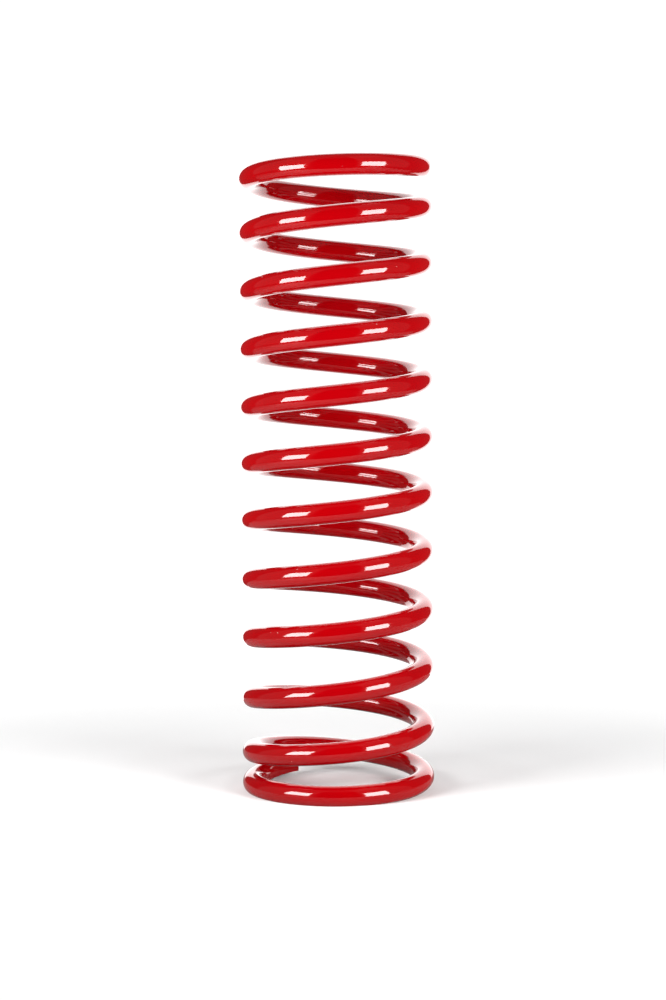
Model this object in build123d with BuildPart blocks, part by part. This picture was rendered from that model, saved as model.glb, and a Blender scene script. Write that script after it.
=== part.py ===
from build123d import *
from math import ceil, cos, pi, radians, sin, tan
import os

# A right-hand wound compression spring for a car's coil-over damper.
# Millimetres. The spring stands on Z with its lower seat on the ground plane.
# Positions along the wire are given in turns. Whole numbers are at the front
# of the spring (-Y). The wire climbs as it runs anticlockwise seen from above.

# Driving dimensions
WIRE_DIAMETER = 12.5
INSIDE_DIAMETER = 89.0
PITCH = 34.0

# The wire starts at the back left, tucked under the first climbing turn.
LOWER_TIP = -0.404
LOWER_RAMP_START = -0.135
LOWER_RAMP_TURNS = 0.68

# The pitch falls away again over the last turn, which is left open.
UPPER_RAMP_START = 10.59
UPPER_RAMP_TURNS = 0.6
UPPER_TIP = 11.205

# The spring isn't wound quite evenly: it hangs low just above the closed turn
# and just below the open one, and stands a little high in its lower middle.
# Each is a height, the place where it is fullest, and the turns it takes to fade.
LOW_START = (2.5, 1.45, 0.95)
HIGH_MIDDLE = (1.5, 4.9, 1.8)
LOW_FINISH = (2.0, 10.7, 1.0)

# The closed lower turn is faced off flat so that the spring stands square.
# Under the tip the facing slopes up, which leaves the end of the wire thinner.
SEAT_DEPTH = 1.5
SLOPE_START = -0.27
SLOPE_ANGLE = 5.7

# Both cut ends of the wire have their sharp edge taken off.
EDGE_RADIUS = 0.9
TIP_LENGTH = 1.5

# The closed turn at the bottom and the open turn at the top are single stretches.
# The active wire between them is divided into quarter turns.
ACTIVE_START = 0.875
ACTIVE_END = 10.625
QUARTER = 0.25
QUARTER_NAMES = ["front", "right", "back", "left"]

# Sizes that follow from the ones above
WIRE_RADIUS = WIRE_DIAMETER / 2
MEAN_RADIUS = (INSIDE_DIAMETER + WIRE_DIAMETER) / 2

# Each stretch is wound a little long and then trimmed to its radial plane.
# Longer stretches are wound a piece at a time, each piece starting on the last.
TRIM_ALLOWANCE = 0.008
LONGEST_WINDING = 0.27
POINTS_PER_TURN = 48


def ramp_area(turns, width):
    """Turns' worth of climb gained while the pitch eases in from nothing."""
    if turns <= 0:
        return 0.0
    if turns >= width:
        return turns - width / 2
    part = turns / width
    return width * (part**3 - part**4 / 2)


def swell(turn, height, place, fade):
    """A smooth rise to a height at one place, fading to nothing on both sides."""
    away = min(abs(turn - place) / fade, 1.0)
    return height * cos(pi / 2 * away) ** 2


def centre_height(turn):
    """Height of the wire's centre above the seat plane."""
    climbed = ramp_area(turn - LOWER_RAMP_START, LOWER_RAMP_TURNS)
    given_back = ramp_area(turn - UPPER_RAMP_START, UPPER_RAMP_TURNS)
    even = WIRE_RADIUS - SEAT_DEPTH + PITCH * (climbed - given_back)
    return even - swell(turn, *LOW_START) + swell(turn, *HIGH_MIDDLE) - swell(turn, *LOW_FINISH)


def around(turn):
    """Angle about Z in radians. Whole turns are at the front."""
    return 2 * pi * turn - pi / 2


def outward(turn):
    return Vector(cos(around(turn)), sin(around(turn)), 0)


def forward(turn):
    """Level direction in which the wire runs."""
    return Vector(-sin(around(turn)), cos(around(turn)), 0)


def centre_point(turn):
    return outward(turn) * MEAN_RADIUS + Vector(0, 0, centre_height(turn))


def wire_direction(turn):
    step = 0.0005
    return (centre_point(turn + step) - centre_point(turn - step)).normalized()


def centreline_points(first, last):
    count = max(6, round((last - first) * POINTS_PER_TURN))
    return [centre_point(first + (last - first) * i / count) for i in range(count + 1)]


def section_plane(turn, way):
    """Plane square across the wire, facing along it (1) or back (-1)."""
    return Plane(
        origin=centre_point(turn),
        x_dir=outward(turn),
        z_dir=wire_direction(turn) * way,
    )


def trimming_plane(turn, way):
    """Upright plane through the spring's axis, facing along the wire (1) or back (-1)."""
    return Plane(origin=centre_point(turn), x_dir=outward(turn), z_dir=forward(turn) * way)


def tip_plane(turn, way):
    """Plane along the wire's centre, with +X outward and +Y leaving the cut end."""
    leaving = wire_direction(turn) * way
    return Plane(
        origin=centre_point(turn),
        x_dir=outward(turn),
        z_dir=outward(turn).cross(leaving),
    )


def round_off_tip(turn, way):
    """Add the last short length of wire at a cut end, with its edge rounded."""
    with BuildSketch(tip_plane(turn, way)) as tip_profile:
        Rectangle(WIRE_RADIUS, TIP_LENGTH, align=(Align.MIN, Align.MIN))
        outer_corner = tip_profile.vertices().sort_by_distance((0, 0, 0))[-1]
        fillet(outer_corner, EDGE_RADIUS)
    revolve(tip_profile.sketch, axis=Axis(centre_point(turn), tip_plane(turn, way).y_dir))


def wound_stretch(first, last, free_start=False, free_end=False):
    """One stretch of the wire between two places along it.

    A free end is cut square to the wire and has its edge rounded. Any other
    end lies flat on an upright plane through the spring's axis, so that
    neighbouring stretches can shift against each other along Z.
    """
    start = first if free_start else first - TRIM_ALLOWANCE
    end = last if free_end else last + TRIM_ALLOWANCE
    block = WIRE_DIAMETER * 1.6

    lengths = ceil((end - start) / LONGEST_WINDING)
    step = (end - start) / lengths

    with BuildPart() as stretch:
        for place in [start + step * i for i in range(lengths)]:
            with BuildLine() as centreline:
                Spline(
                    centreline_points(place, place + step),
                    tangents=(wire_direction(place), wire_direction(place + step)),
                )
            with BuildSketch(section_plane(place, 1)):
                Circle(WIRE_RADIUS)
            sweep(path=centreline.line, is_frenet=True)

        if free_start:
            round_off_tip(start, -1)
        else:
            with BuildSketch(trimming_plane(first, -1)):
                Rectangle(block, block)
            extrude(amount=WIRE_DIAMETER, mode=Mode.SUBTRACT)

        if free_end:
            round_off_tip(end, 1)
        else:
            with BuildSketch(trimming_plane(last, 1)):
                Rectangle(block, block)
            extrude(amount=WIRE_DIAMETER, mode=Mode.SUBTRACT)

    return stretch


os.makedirs("parts", exist_ok=True)

# Closed lower turn, faced off flat on the seat plane and at a slope under its tip
lower_end_coil = wound_stretch(LOWER_TIP, ACTIVE_START, free_start=True)

slope_plane = Plane(
    origin=outward(SLOPE_START) * MEAN_RADIUS,
    x_dir=outward(SLOPE_START),
    z_dir=Vector(0, 0, 1) + forward(SLOPE_START) * tan(radians(SLOPE_ANGLE)),
)

with lower_end_coil:
    split(bisect_by=Plane.XY, keep=Keep.TOP)
    with BuildSketch(slope_plane) as sloped_facing:
        with Locations((WIRE_DIAMETER, 0)):
            Rectangle(MEAN_RADIUS, MEAN_RADIUS, align=(Align.MAX, Align.MAX))
    extrude(sloped_facing.sketch, amount=-WIRE_DIAMETER, mode=Mode.SUBTRACT)

lower_end_coil.part.label = "lower_end_coil"
export_step(lower_end_coil.part, "parts/lower_end_coil.step")

# Active wire, one quarter turn after another
quarter_count = round((ACTIVE_END - ACTIVE_START) / QUARTER)

for index in range(quarter_count):
    turn_number = 1 + index // 4
    name = f"turn_{turn_number:02d}_{QUARTER_NAMES[index % 4]}"
    quarter_start = ACTIVE_START + index * QUARTER
    quarter_turn = wound_stretch(quarter_start, quarter_start + QUARTER)
    quarter_turn.part.label = name
    export_step(quarter_turn.part, f"parts/{name}.step")

# Open upper turn, with its end cut square
upper_end_coil = wound_stretch(ACTIVE_END, UPPER_TIP, free_end=True)

upper_end_coil.part.label = "upper_end_coil"
export_step(upper_end_coil.part, "parts/upper_end_coil.step")
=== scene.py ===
import bpy
import math
from mathutils import Matrix, Vector
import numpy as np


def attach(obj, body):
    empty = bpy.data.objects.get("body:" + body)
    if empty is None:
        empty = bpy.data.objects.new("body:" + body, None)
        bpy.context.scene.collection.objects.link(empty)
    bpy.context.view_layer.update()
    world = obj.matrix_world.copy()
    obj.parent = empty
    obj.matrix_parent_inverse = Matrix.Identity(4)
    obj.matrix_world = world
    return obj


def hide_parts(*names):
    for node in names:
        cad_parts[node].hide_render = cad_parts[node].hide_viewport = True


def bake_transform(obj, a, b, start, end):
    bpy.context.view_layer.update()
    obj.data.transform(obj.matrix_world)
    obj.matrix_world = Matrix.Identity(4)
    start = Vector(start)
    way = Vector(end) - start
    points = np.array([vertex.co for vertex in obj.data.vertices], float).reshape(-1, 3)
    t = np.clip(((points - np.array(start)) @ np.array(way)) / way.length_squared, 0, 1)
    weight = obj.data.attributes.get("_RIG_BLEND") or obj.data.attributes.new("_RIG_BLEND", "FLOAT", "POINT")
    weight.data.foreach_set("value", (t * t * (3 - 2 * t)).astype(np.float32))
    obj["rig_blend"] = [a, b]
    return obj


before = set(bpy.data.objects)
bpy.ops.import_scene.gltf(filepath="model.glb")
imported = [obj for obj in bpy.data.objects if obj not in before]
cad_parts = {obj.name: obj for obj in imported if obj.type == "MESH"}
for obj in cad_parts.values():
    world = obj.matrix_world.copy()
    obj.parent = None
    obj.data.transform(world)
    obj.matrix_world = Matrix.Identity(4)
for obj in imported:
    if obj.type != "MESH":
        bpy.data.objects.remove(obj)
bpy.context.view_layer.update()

# ---------------------------------------------------------------------------
# The wire, in metres. Places along it are in turns: whole numbers are at the
# front (-Y), and the wire climbs as it runs anticlockwise seen from above.
# ---------------------------------------------------------------------------

WIRE_RADIUS = 0.00625
MEAN_RADIUS = 0.05075
PITCH = 0.034

LOWER_TIP = -0.404
LOWER_RAMP_START = -0.135
LOWER_RAMP_TURNS = 0.68
UPPER_RAMP_START = 10.59
UPPER_RAMP_TURNS = 0.6
UPPER_TIP = 11.205

# Where the winding stands low or high: height, fullest place, turns to fade.
LOW_START = (0.0025, 1.45, 0.95)
HIGH_MIDDLE = (0.0015, 4.9, 1.8)
LOW_FINISH = (0.0020, 10.7, 1.0)

# The lower turn is faced off flat, and at a slope under its tip.
SEAT_DEPTH = 0.0015
SLOPE_START = -0.27
SLOPE_ANGLE = math.radians(5.7)

# Both cut ends have their sharp edge taken off.
TIP_LENGTH = 0.0015
EDGE_RADIUS = 0.0009

# The active wire is divided into quarter turns, as in the CAD.
ACTIVE_START = 0.875
QUARTER = 0.25
QUARTER_NAMES = ["front", "right", "back", "left"]
QUARTER_COUNT = 39

# How finely the wire's surface is divided
RINGS_PER_TURN = 240
FEWEST_RINGS = 8
POINTS_ROUND = 56
EDGE_STEPS = 6


def ramp_area(turns, width):
    """Turns' worth of climb gained while the pitch eases in from nothing."""
    if turns <= 0:
        return 0.0
    if turns >= width:
        return turns - width / 2
    part = turns / width
    return width * (part**3 - part**4 / 2)


def swell(turn, height, place, fade):
    """A smooth rise to a height at one place, fading to nothing on both sides."""
    away = min(abs(turn - place) / fade, 1.0)
    return height * math.cos(math.pi / 2 * away) ** 2


def centre_height(turn):
    """Height of the wire's centre above the seat plane."""
    climbed = ramp_area(turn - LOWER_RAMP_START, LOWER_RAMP_TURNS)
    given_back = ramp_area(turn - UPPER_RAMP_START, UPPER_RAMP_TURNS)
    even = WIRE_RADIUS - SEAT_DEPTH + PITCH * (climbed - given_back)
    return even - swell(turn, *LOW_START) + swell(turn, *HIGH_MIDDLE) - swell(turn, *LOW_FINISH)


def bearings(turn):
    """Level directions at a place: outward, and the way the wire runs."""
    angle = 2 * math.pi * turn - math.pi / 2
    outward = Vector((math.cos(angle), math.sin(angle), 0.0))
    return outward, Vector((-outward.y, outward.x, 0.0))


def wire_frame(turn):
    """The wire's centre, outward direction, upper direction and run at a place."""
    outward, level = bearings(turn)
    step = 0.0005
    climb = centre_height(turn + step) - centre_height(turn - step)
    rise = climb / (2 * step * 2 * math.pi * MEAN_RADIUS)
    run = (level + Vector((0.0, 0.0, rise))).normalized()
    centre = outward * MEAN_RADIUS + Vector((0.0, 0.0, centre_height(turn)))
    return centre, outward, outward.cross(run), run


SLOPE_OUTWARD, SLOPE_LEVEL = bearings(SLOPE_START)


def facing_height(point, turn):
    """Height of the faced-off underside at a point of the wire."""
    if turn > 0:
        return 0.0
    behind = (SLOPE_OUTWARD * MEAN_RADIUS - point).dot(SLOPE_LEVEL)
    return max(0.0, behind * math.tan(SLOPE_ANGLE))


def wire_sections(first, last, free_start, free_end):
    """Sections from one end to the other. Each is a dict with the section's
    centre, its two axes, the wire's run, its place in turns, its radius, how far
    its normals lean along the wire, and how much it belongs to a cut end."""
    count = max(FEWEST_RINGS, round((last - first) * RINGS_PER_TURN))
    sections = []
    for i in range(count + 1):
        turn = first + (last - first) * i / count
        centre, outward, upper, run = wire_frame(turn)
        sections.append(
            dict(
                centre=centre,
                outward=outward,
                upper=upper,
                run=run,
                turn=turn,
                radius=WIRE_RADIUS,
                lean=0.0,
                end=0.0,
            )
        )

    def rounded(section, way):
        """Sections of the last short length beyond a cut, working outwards."""
        straight = TIP_LENGTH - EDGE_RADIUS
        steps = [(straight, 0.0)]
        for j in range(1, EDGE_STEPS + 1):
            bend = math.radians(90) * j / EDGE_STEPS
            steps.append((straight + EDGE_RADIUS * math.sin(bend), bend))
        made = []
        for distance, bend in steps:
            made.append(
                dict(
                    section,
                    centre=section["centre"] + section["run"] * way * distance,
                    radius=WIRE_RADIUS - EDGE_RADIUS * (1 - math.cos(bend)),
                    lean=way * bend,
                    end=0.4 + 0.6 * math.sin(bend),
                )
            )
        return made

    if free_start:
        sections = rounded(sections[0], -1)[::-1] + sections
    if free_end:
        sections = sections + rounded(sections[-1], 1)
    return sections


def wire_piece(name, first, last, free_start=False, free_end=False):
    """A closed length of the wire, with exact normals so that neighbouring
    lengths shade as one."""
    sections = wire_sections(first, last, free_start, free_end)
    points = []
    normals = []
    turns = []
    ends = []
    on_facing = []
    for s in sections:
        for j in range(POINTS_ROUND):
            angle = 2 * math.pi * j / POINTS_ROUND
            spoke = s["outward"] * math.cos(angle) + s["upper"] * math.sin(angle)
            point = s["centre"] + spoke * s["radius"]
            normal = spoke * math.cos(s["lean"]) + s["run"] * math.sin(s["lean"])
            faced = facing_height(point, s["turn"])
            on_facing.append(point.z <= faced)
            point.z = max(point.z, faced)
            points.append(point)
            normals.append(normal)
            turns.append(s["turn"])
            ends.append(s["end"])

    faces = []
    for i in range(len(sections) - 1):
        for j in range(POINTS_ROUND):
            a = i * POINTS_ROUND + j
            b = i * POINTS_ROUND + (j + 1) % POINTS_ROUND
            faces.append((a, a + POINTS_ROUND, b + POINTS_ROUND, b))
    side_faces = len(faces)
    faces.append(tuple(range(POINTS_ROUND)))
    last_ring = (len(sections) - 1) * POINTS_ROUND
    faces.append(tuple(range(last_ring, last_ring + POINTS_ROUND))[::-1])

    mesh = bpy.data.meshes.new(name)
    mesh.from_pydata([tuple(p) for p in points], [], faces)
    mesh.update()

    corner_normals = []
    end_normals = [-sections[0]["run"], sections[-1]["run"]]
    for polygon in mesh.polygons:
        polygon.use_smooth = True
        faced_off = all(on_facing[v] for v in polygon.vertices)
        for v in polygon.vertices:
            if polygon.index >= side_faces:
                corner_normals.append(end_normals[polygon.index - side_faces])
            elif faced_off:
                corner_normals.append(polygon.normal.copy())
            else:
                corner_normals.append(normals[v])
    mesh.normals_split_custom_set(corner_normals)

    rest = mesh.attributes.new("rest_place", "FLOAT_VECTOR", "POINT")
    rest.data.foreach_set("vector", [c for p in points for c in p])
    along = mesh.attributes.new("wire_turn", "FLOAT", "POINT")
    along.data.foreach_set("value", turns)
    cut = mesh.attributes.new("cut_end", "FLOAT", "POINT")
    cut.data.foreach_set("value", ends)

    piece = bpy.data.objects.new(name, mesh)
    bpy.context.scene.collection.objects.link(piece)
    piece.data.materials.append(POWDER_COAT)
    return piece


# ---------------------------------------------------------------------------
# Nodes: each function adds to a node tree and gives back the new output
# ---------------------------------------------------------------------------


def connect(tree, socket, value):
    """Set an input to a number or a colour, or link it to another output."""
    if isinstance(value, bpy.types.NodeSocket):
        tree.links.new(value, socket)
    else:
        socket.default_value = value


def calculate(tree, operation, *values):
    node = tree.nodes.new("ShaderNodeMath")
    node.operation = operation
    for socket, value in zip(node.inputs, values):
        connect(tree, socket, value)
    return node.outputs["Value"]


def spread(tree, value, low, high, to_low, to_high, smooth=False):
    """The value with the range low to high laid over to_low to to_high."""
    node = tree.nodes.new("ShaderNodeMapRange")
    if smooth:
        node.interpolation_type = "SMOOTHSTEP"
    node.inputs["From Min"].default_value = low
    node.inputs["From Max"].default_value = high
    node.inputs["To Min"].default_value = to_low
    node.inputs["To Max"].default_value = to_high
    connect(tree, node.inputs["Value"], value)
    return node.outputs["Result"]


def window(tree, value, low, high, soft):
    """1 between low and high, 0 outside, with soft edges."""
    above_low = spread(tree, value, low - soft / 2, low + soft / 2, 0.0, 1.0, smooth=True)
    below_high = spread(tree, value, high - soft / 2, high + soft / 2, 1.0, 0.0, smooth=True)
    return calculate(tree, "MULTIPLY", above_low, below_high)


def tint(tree, amount, first, second):
    """A mix of two colours."""
    node = tree.nodes.new("ShaderNodeMix")
    node.data_type = "RGBA"
    connect(tree, node.inputs["Factor"], amount)
    for name, value in (("A", first), ("B", second)):
        sockets = [s for s in node.inputs if s.name == name and s.type == "RGBA"]
        connect(tree, sockets[0], value)
    return [s for s in node.outputs if s.type == "RGBA"][0]


def mixed_shader(tree, amount, first, second):
    node = tree.nodes.new("ShaderNodeMixShader")
    connect(tree, node.inputs["Fac"], amount)
    connect(tree, node.inputs[1], first)
    connect(tree, node.inputs[2], second)
    return node.outputs["Shader"]


def matt(tree, grey):
    node = tree.nodes.new("ShaderNodeBsdfDiffuse")
    node.inputs["Color"].default_value = (grey, grey, grey, 1.0)
    return node.outputs["BSDF"]


def glow(tree, strength):
    node = tree.nodes.new("ShaderNodeEmission")
    node.inputs["Strength"].default_value = strength
    return node.outputs["Emission"]


def axis_parts(tree, vector):
    node = tree.nodes.new("ShaderNodeSeparateXYZ")
    connect(tree, node.inputs["Vector"], vector)
    return node.outputs


def attribute(tree, name):
    node = tree.nodes.new("ShaderNodeAttribute")
    node.attribute_name = name
    return node.outputs


def bump(tree, height, distance, over=None):
    """Relief of a real height in metres, on its own or over another relief."""
    node = tree.nodes.new("ShaderNodeBump")
    node.inputs["Strength"].default_value = 1.0
    node.inputs["Distance"].default_value = distance
    connect(tree, node.inputs["Height"], height)
    if over:
        connect(tree, node.inputs["Normal"], over)
    return node.outputs["Normal"]


def new_material(name):
    """A material with an empty tree, and the place where its shader goes."""
    material = bpy.data.materials.new(name)
    material.use_nodes = True
    tree = material.node_tree
    tree.nodes.clear()
    output = tree.nodes.new("ShaderNodeOutputMaterial")
    return material, tree, output.inputs["Surface"]


# ---------------------------------------------------------------------------
# Powder coat
# ---------------------------------------------------------------------------

# The red drifts between two shades, and is darker over the cut ends.
RED = (0.263, 0.0, 0.0016, 1.0)
OTHER_RED = (0.283, 0.0, 0.0010, 1.0)
CUT_END_RED = (0.13, 0.001, 0.002, 1.0)
CUT_END_TINT = 0.55
DUST_COLOUR = (0.85, 0.62, 0.60, 1.0)
DUST_TINT = 0.55

# Only the few cells whose random number is above this hold a speck of dust.
DUST_RARITY = 0.965

DUST_ROUGHNESS = 0.4
CUT_END_ROUGHNESS = 0.12

# Texture scales are per metre. Relief is in metres.
DRIFT_SCALE = 18
DUST_SCALE = 260
GLOSS_SCALE = 60
FLOW_SCALE = 75
FLOW_DEPTH = 0.00006
PEEL_SCALE = 520
PEEL_DEPTH = 0.000008


def powder_coat_material():
    """Glossy red powder coat with a slight orange peel and a little dust."""
    material, tree, surface = new_material("powder_coat")
    shader = tree.nodes.new("ShaderNodeBsdfPrincipled")
    tree.links.new(shader.outputs["BSDF"], surface)
    place = attribute(tree, "rest_place")["Vector"]
    cut_end = attribute(tree, "cut_end")["Fac"]

    def noise(scale, detail):
        texture = tree.nodes.new("ShaderNodeTexNoise")
        texture.inputs["Scale"].default_value = scale
        texture.inputs["Detail"].default_value = detail
        connect(tree, texture.inputs["Vector"], place)
        return texture.outputs["Fac"]

    # Colour: a deep clean red that drifts a little along the wire.
    drift = spread(tree, noise(DRIFT_SCALE, 2), 0.3, 0.7, 0.0, 1.0)
    red = tint(tree, drift, RED, OTHER_RED)
    over_end = spread(tree, cut_end, 0.0, 1.0, 0.0, CUT_END_TINT)
    red = tint(tree, over_end, red, CUT_END_RED)

    # A few pale specks of dust.
    cells = tree.nodes.new("ShaderNodeTexVoronoi")
    cells.inputs["Scale"].default_value = DUST_SCALE
    connect(tree, cells.inputs["Vector"], place)
    speck = spread(tree, cells.outputs["Distance"], 0.05, 0.09, 1.0, 0.0)
    random = tree.nodes.new("ShaderNodeSeparateColor")
    connect(tree, random.inputs["Color"], cells.outputs["Color"])
    rare = calculate(tree, "GREATER_THAN", random.outputs["Red"], DUST_RARITY)
    dust = calculate(tree, "MULTIPLY", speck, rare)
    red = tint(tree, calculate(tree, "MULTIPLY", dust, DUST_TINT), red, DUST_COLOUR)
    connect(tree, shader.inputs["Base Color"], red)

    # Gloss: slightly uneven, and duller where there is dust or a cut end.
    dulled_by_dust = calculate(tree, "MULTIPLY", dust, DUST_ROUGHNESS)
    dulled_by_end = calculate(tree, "MULTIPLY", cut_end, CUT_END_ROUGHNESS)
    gloss = spread(tree, noise(GLOSS_SCALE, 3), 0.3, 0.7, 0.05, 0.085)
    gloss = calculate(tree, "ADD", gloss, dulled_by_dust)
    gloss = calculate(tree, "ADD", gloss, dulled_by_end)
    connect(tree, shader.inputs["Roughness"], gloss)
    shader.inputs["IOR"].default_value = 1.5
    shader.inputs["Diffuse Roughness"].default_value = 0.45

    # Surface: long soft waves where the coating flowed, and a fine orange peel.
    flow = bump(tree, noise(FLOW_SCALE, 1), FLOW_DEPTH)
    peel = bump(tree, noise(PEEL_SCALE, 2), PEEL_DEPTH, over=flow)
    connect(tree, shader.inputs["Normal"], peel)
    return material


POWDER_COAT = powder_coat_material()


# ---------------------------------------------------------------------------
# The spring
# ---------------------------------------------------------------------------

lower_end = wire_piece("wire_lower_end", LOWER_TIP, ACTIVE_START, free_start=True)
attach(lower_end, "lower_end_coil")
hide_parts("lower_end_coil")

for index in range(QUARTER_COUNT):
    node = f"turn_{1 + index // 4:02d}_{QUARTER_NAMES[index % 4]}"
    first = ACTIVE_START + index * QUARTER
    quarter = wire_piece(f"wire_{node}", first, first + QUARTER)
    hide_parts(node)
    # Each body slides from the lower end coil and travels one step further
    # than the body below it. The blend's shares are set here so that a quarter's
    # upper end moves with its own body and its lower end with the body below.
    # The wire then stays whole and even as the spring is squeezed.
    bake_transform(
        quarter,
        "lower_end_coil",
        node,
        start=wire_frame(first)[0],
        end=wire_frame(first + QUARTER)[0],
    )
    mesh = quarter.data
    follows = [
        (index + (place.value - first) / QUARTER) / (index + 1)
        for place in mesh.attributes["wire_turn"].data
    ]
    mesh.attributes["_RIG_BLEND"].data.foreach_set("value", follows)

upper_end = wire_piece(
    "wire_upper_end", ACTIVE_START + QUARTER_COUNT * QUARTER, UPPER_TIP, free_end=True
)
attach(upper_end, "upper_end_coil")
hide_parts("upper_end_coil")


# ---------------------------------------------------------------------------
# Studio: a pale floor that fades into a white backdrop, and two upright
# softboxes. The backdrop is over-exposed to the camera, but the gloss sees
# dark surroundings with a few lit patches, and a table in place of the floor.
# ---------------------------------------------------------------------------

BACKDROP_STRENGTH = 1.05

# The floor as pictured: paper round the spring, fading to the backdrop.
PAPER_GREY = 0.85
PAPER_RADIUS = 0.10
BACKDROP_RADIUS = 0.45

# The floor in reflections: a table, with nothing beyond its edges.
TABLE_GREY = 0.34
TABLE_LEFT = -0.85
TABLE_RIGHT = 0.50
TABLE_FRONT = -0.38
TABLE_BACK = 0.28
TABLE_EDGE = 0.03


def floor_material():
    material, tree, surface = new_material("pale_floor")
    place = tree.nodes.new("ShaderNodeNewGeometry").outputs["Position"]

    distance = tree.nodes.new("ShaderNodeVectorMath")
    distance.operation = "LENGTH"
    connect(tree, distance.inputs[0], place)
    fade = spread(
        tree, distance.outputs["Value"], PAPER_RADIUS, BACKDROP_RADIUS, 0.0, 1.0, smooth=True
    )
    pictured = mixed_shader(tree, fade, matt(tree, PAPER_GREY), glow(tree, BACKDROP_STRENGTH))

    parts = axis_parts(tree, place)
    across = window(tree, parts["X"], TABLE_LEFT, TABLE_RIGHT, TABLE_EDGE)
    deep = window(tree, parts["Y"], TABLE_FRONT, TABLE_BACK, TABLE_EDGE)
    on_table = calculate(tree, "MULTIPLY", across, deep)
    beyond = tree.nodes.new("ShaderNodeBsdfTransparent").outputs["BSDF"]
    mirrored = mixed_shader(tree, on_table, beyond, matt(tree, TABLE_GREY))

    seen = tree.nodes.new("ShaderNodeLightPath").outputs["Is Camera Ray"]
    connect(tree, surface, mixed_shader(tree, seen, mirrored, pictured))
    return material


def staged_plane(name, corners, material):
    """A flat four-cornered piece of the studio, which isn't part of the object."""
    mesh = bpy.data.meshes.new(name)
    mesh.from_pydata(corners, [], [(0, 1, 2, 3)])
    mesh.materials.append(material)
    plane = bpy.data.objects.new(name, mesh)
    bpy.context.scene.collection.objects.link(plane)
    return plane


staged_plane(
    "floor",
    [(-12.0, -6.0, 0.0), (12.0, -6.0, 0.0), (12.0, 18.0, 0.0), (-12.0, 18.0, 0.0)],
    floor_material(),
)


def around(azimuth, distance, height):
    """A place round the spring. Azimuth 0 is the camera's side and 90 its right."""
    a = math.radians(azimuth)
    return Vector((distance * math.sin(a), -distance * math.cos(a), height))


def softbox(name, azimuth, distance, width, bottom, top, radiance):
    """An upright rectangular softbox that faces the spring's axis."""
    light = bpy.data.lights.new(name, "AREA")
    light.shape = "RECTANGLE"
    light.size = width
    light.size_y = top - bottom
    light.energy = radiance * math.pi * width * (top - bottom)
    lamp = bpy.data.objects.new(name, light)
    bpy.context.scene.collection.objects.link(lamp)
    place = around(azimuth, distance, (bottom + top) / 2)
    lamp.location = place
    facing = Vector((-place.x, -place.y, 0.0))
    lamp.rotation_euler = facing.to_track_quat("-Z", "Y").to_euler()
    lamp.visible_camera = False
    return lamp


softbox("softbox_left", -50.2, 0.58, 0.315, 0.13, 0.47, 20.0)
softbox("softbox_right", 45.5, 0.92, 0.48, 0.02, 0.62, 19.5)

# A weak fill from behind, so that the back of the spring isn't lost in the dark.
back_fill = softbox("back_fill", 180, 0.95, 0.9, 0.05, 0.65, 4.0)
back_fill.visible_glossy = False


def back_panel(left, right, behind, top, strength):
    """A lit white panel close behind the spring, seen only in its gloss."""
    material, tree, surface = new_material("lit_panel")
    connect(tree, surface, glow(tree, strength))
    corners = [(left, 0.0), (right, 0.0), (right, top), (left, top)]
    panel = staged_plane("back_panel", [(x, behind, z) for x, z in corners], material)
    panel.visible_camera = False
    panel.visible_diffuse = False
    panel.visible_shadow = False


back_panel(-0.15, 0.22, 0.24, 0.75, 2.4)


# Light from the surroundings, in every direction and in patches. Each patch has
# its limits sideways and in elevation in degrees, the softness of its edges, and
# its brightness. Sideways is the azimuth, or how far it is from the camera's
# side whether left or right.
DIM_LIGHT = 0.012
EITHER_SIDE_PATCHES = [
    (-10, 200, 60, 100, 16, 0.09),
    (27, 200, -100, 100, 6, 0.05),
]
ONE_SIDE_PATCHES = [
    (-112, -32, -14, 60, 5, 0.18),
    (27, 97, -24, 74, 5, 0.15),
]


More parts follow.
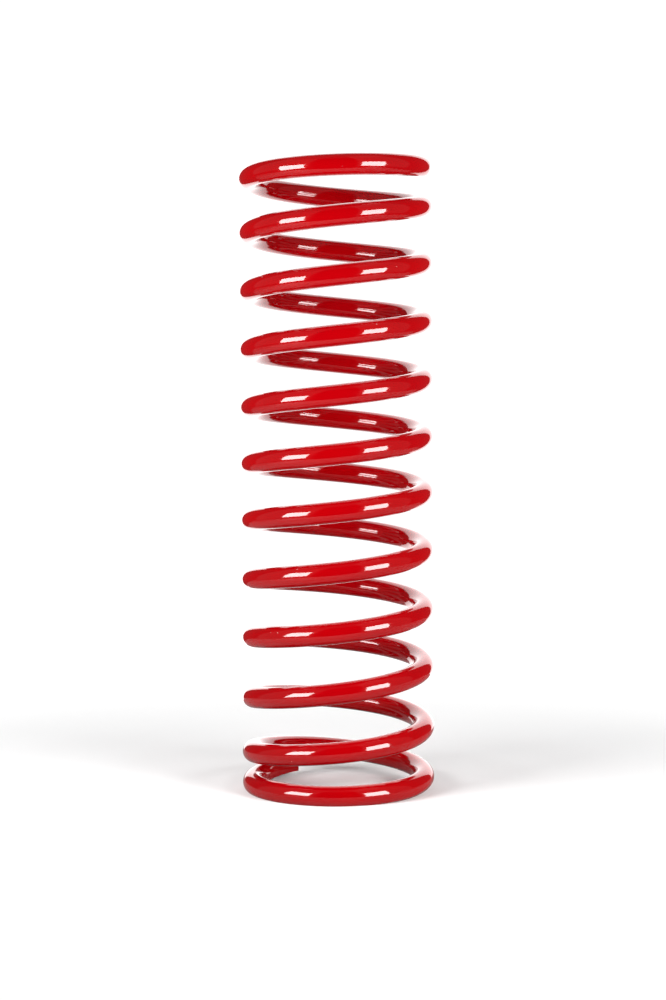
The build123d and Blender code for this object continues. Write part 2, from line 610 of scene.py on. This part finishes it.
def studio_world():
    world = bpy.data.worlds.new("studio")
    world.use_nodes = True
    tree = world.node_tree
    tree.nodes.clear()

    look = axis_parts(tree, tree.nodes.new("ShaderNodeTexCoord").outputs["Generated"])
    ahead = calculate(tree, "MULTIPLY", look["Y"], -1.0)
    azimuth = calculate(tree, "ARCTAN2", look["X"], ahead)
    azimuth = calculate(tree, "MULTIPLY", azimuth, 180 / math.pi)
    elevation = calculate(tree, "ARCSINE", look["Z"])
    elevation = calculate(tree, "MULTIPLY", elevation, 180 / math.pi)
    either_side = calculate(tree, "ABSOLUTE", azimuth)

    patches = [(either_side, *patch) for patch in EITHER_SIDE_PATCHES]
    patches += [(azimuth, *patch) for patch in ONE_SIDE_PATCHES]
    light_round = DIM_LIGHT
    for sideways, left, right, low_edge, high_edge, soft, brightness in patches:
        across = window(tree, sideways, left, right, soft)
        upright = window(tree, elevation, low_edge, high_edge, soft)
        patch = calculate(tree, "MULTIPLY", across, upright)
        patch = calculate(tree, "MULTIPLY", patch, brightness)
        light_round = calculate(tree, "ADD", light_round, patch)

    seen = tree.nodes.new("ShaderNodeLightPath").outputs["Is Camera Ray"]
    unseen = calculate(tree, "SUBTRACT", 1.0, seen)
    backdrop = calculate(tree, "MULTIPLY", seen, BACKDROP_STRENGTH)
    surroundings = calculate(tree, "MULTIPLY", unseen, light_round)
    background = tree.nodes.new("ShaderNodeBackground")
    background.inputs["Color"].default_value = (1.0, 1.0, 1.0, 1.0)
    strength = calculate(tree, "ADD", backdrop, surroundings)
    connect(tree, background.inputs["Strength"], strength)
    output = tree.nodes.new("ShaderNodeOutputWorld")
    connect(tree, output.inputs["Surface"], background.outputs["Background"])
    return world


bpy.context.scene.world = studio_world()
bpy.context.scene.view_settings.view_transform = "Standard"
bpy.context.scene.view_settings.look = "None"


# ---------------------------------------------------------------------------
# Camera
# ---------------------------------------------------------------------------

# Fitted to the strands in the photograph. Angles are in radians: the camera
# looks a little down and is turned a little about its own line of sight.
CAMERA_PLACE = (-0.0024, -1.3642, 0.2718)
CAMERA_PITCH = 0.07270
CAMERA_ROLL = -0.00560
LENS_MM = 83.20

camera_data = bpy.data.cameras.new("camera")
camera_data.sensor_width = 36.0
camera_data.lens = LENS_MM
camera_data.dof.use_dof = False
camera_data.clip_start = 0.01
camera_data.clip_end = 50.0
camera = bpy.data.objects.new("camera", camera_data)
bpy.context.scene.collection.objects.link(camera)
forward = Vector((0.0, math.cos(CAMERA_PITCH), -math.sin(CAMERA_PITCH)))
upward = Vector((0.0, math.sin(CAMERA_PITCH), math.cos(CAMERA_PITCH)))
sideways = Vector((1.0, 0.0, 0.0))
right = sideways * math.cos(CAMERA_ROLL) + upward * math.sin(CAMERA_ROLL)
top = upward * math.cos(CAMERA_ROLL) - sideways * math.sin(CAMERA_ROLL)
turned = Matrix((right, top, -forward)).transposed()
camera.matrix_world = Matrix.Translation(CAMERA_PLACE) @ turned.to_4x4()
bpy.context.scene.camera = camera
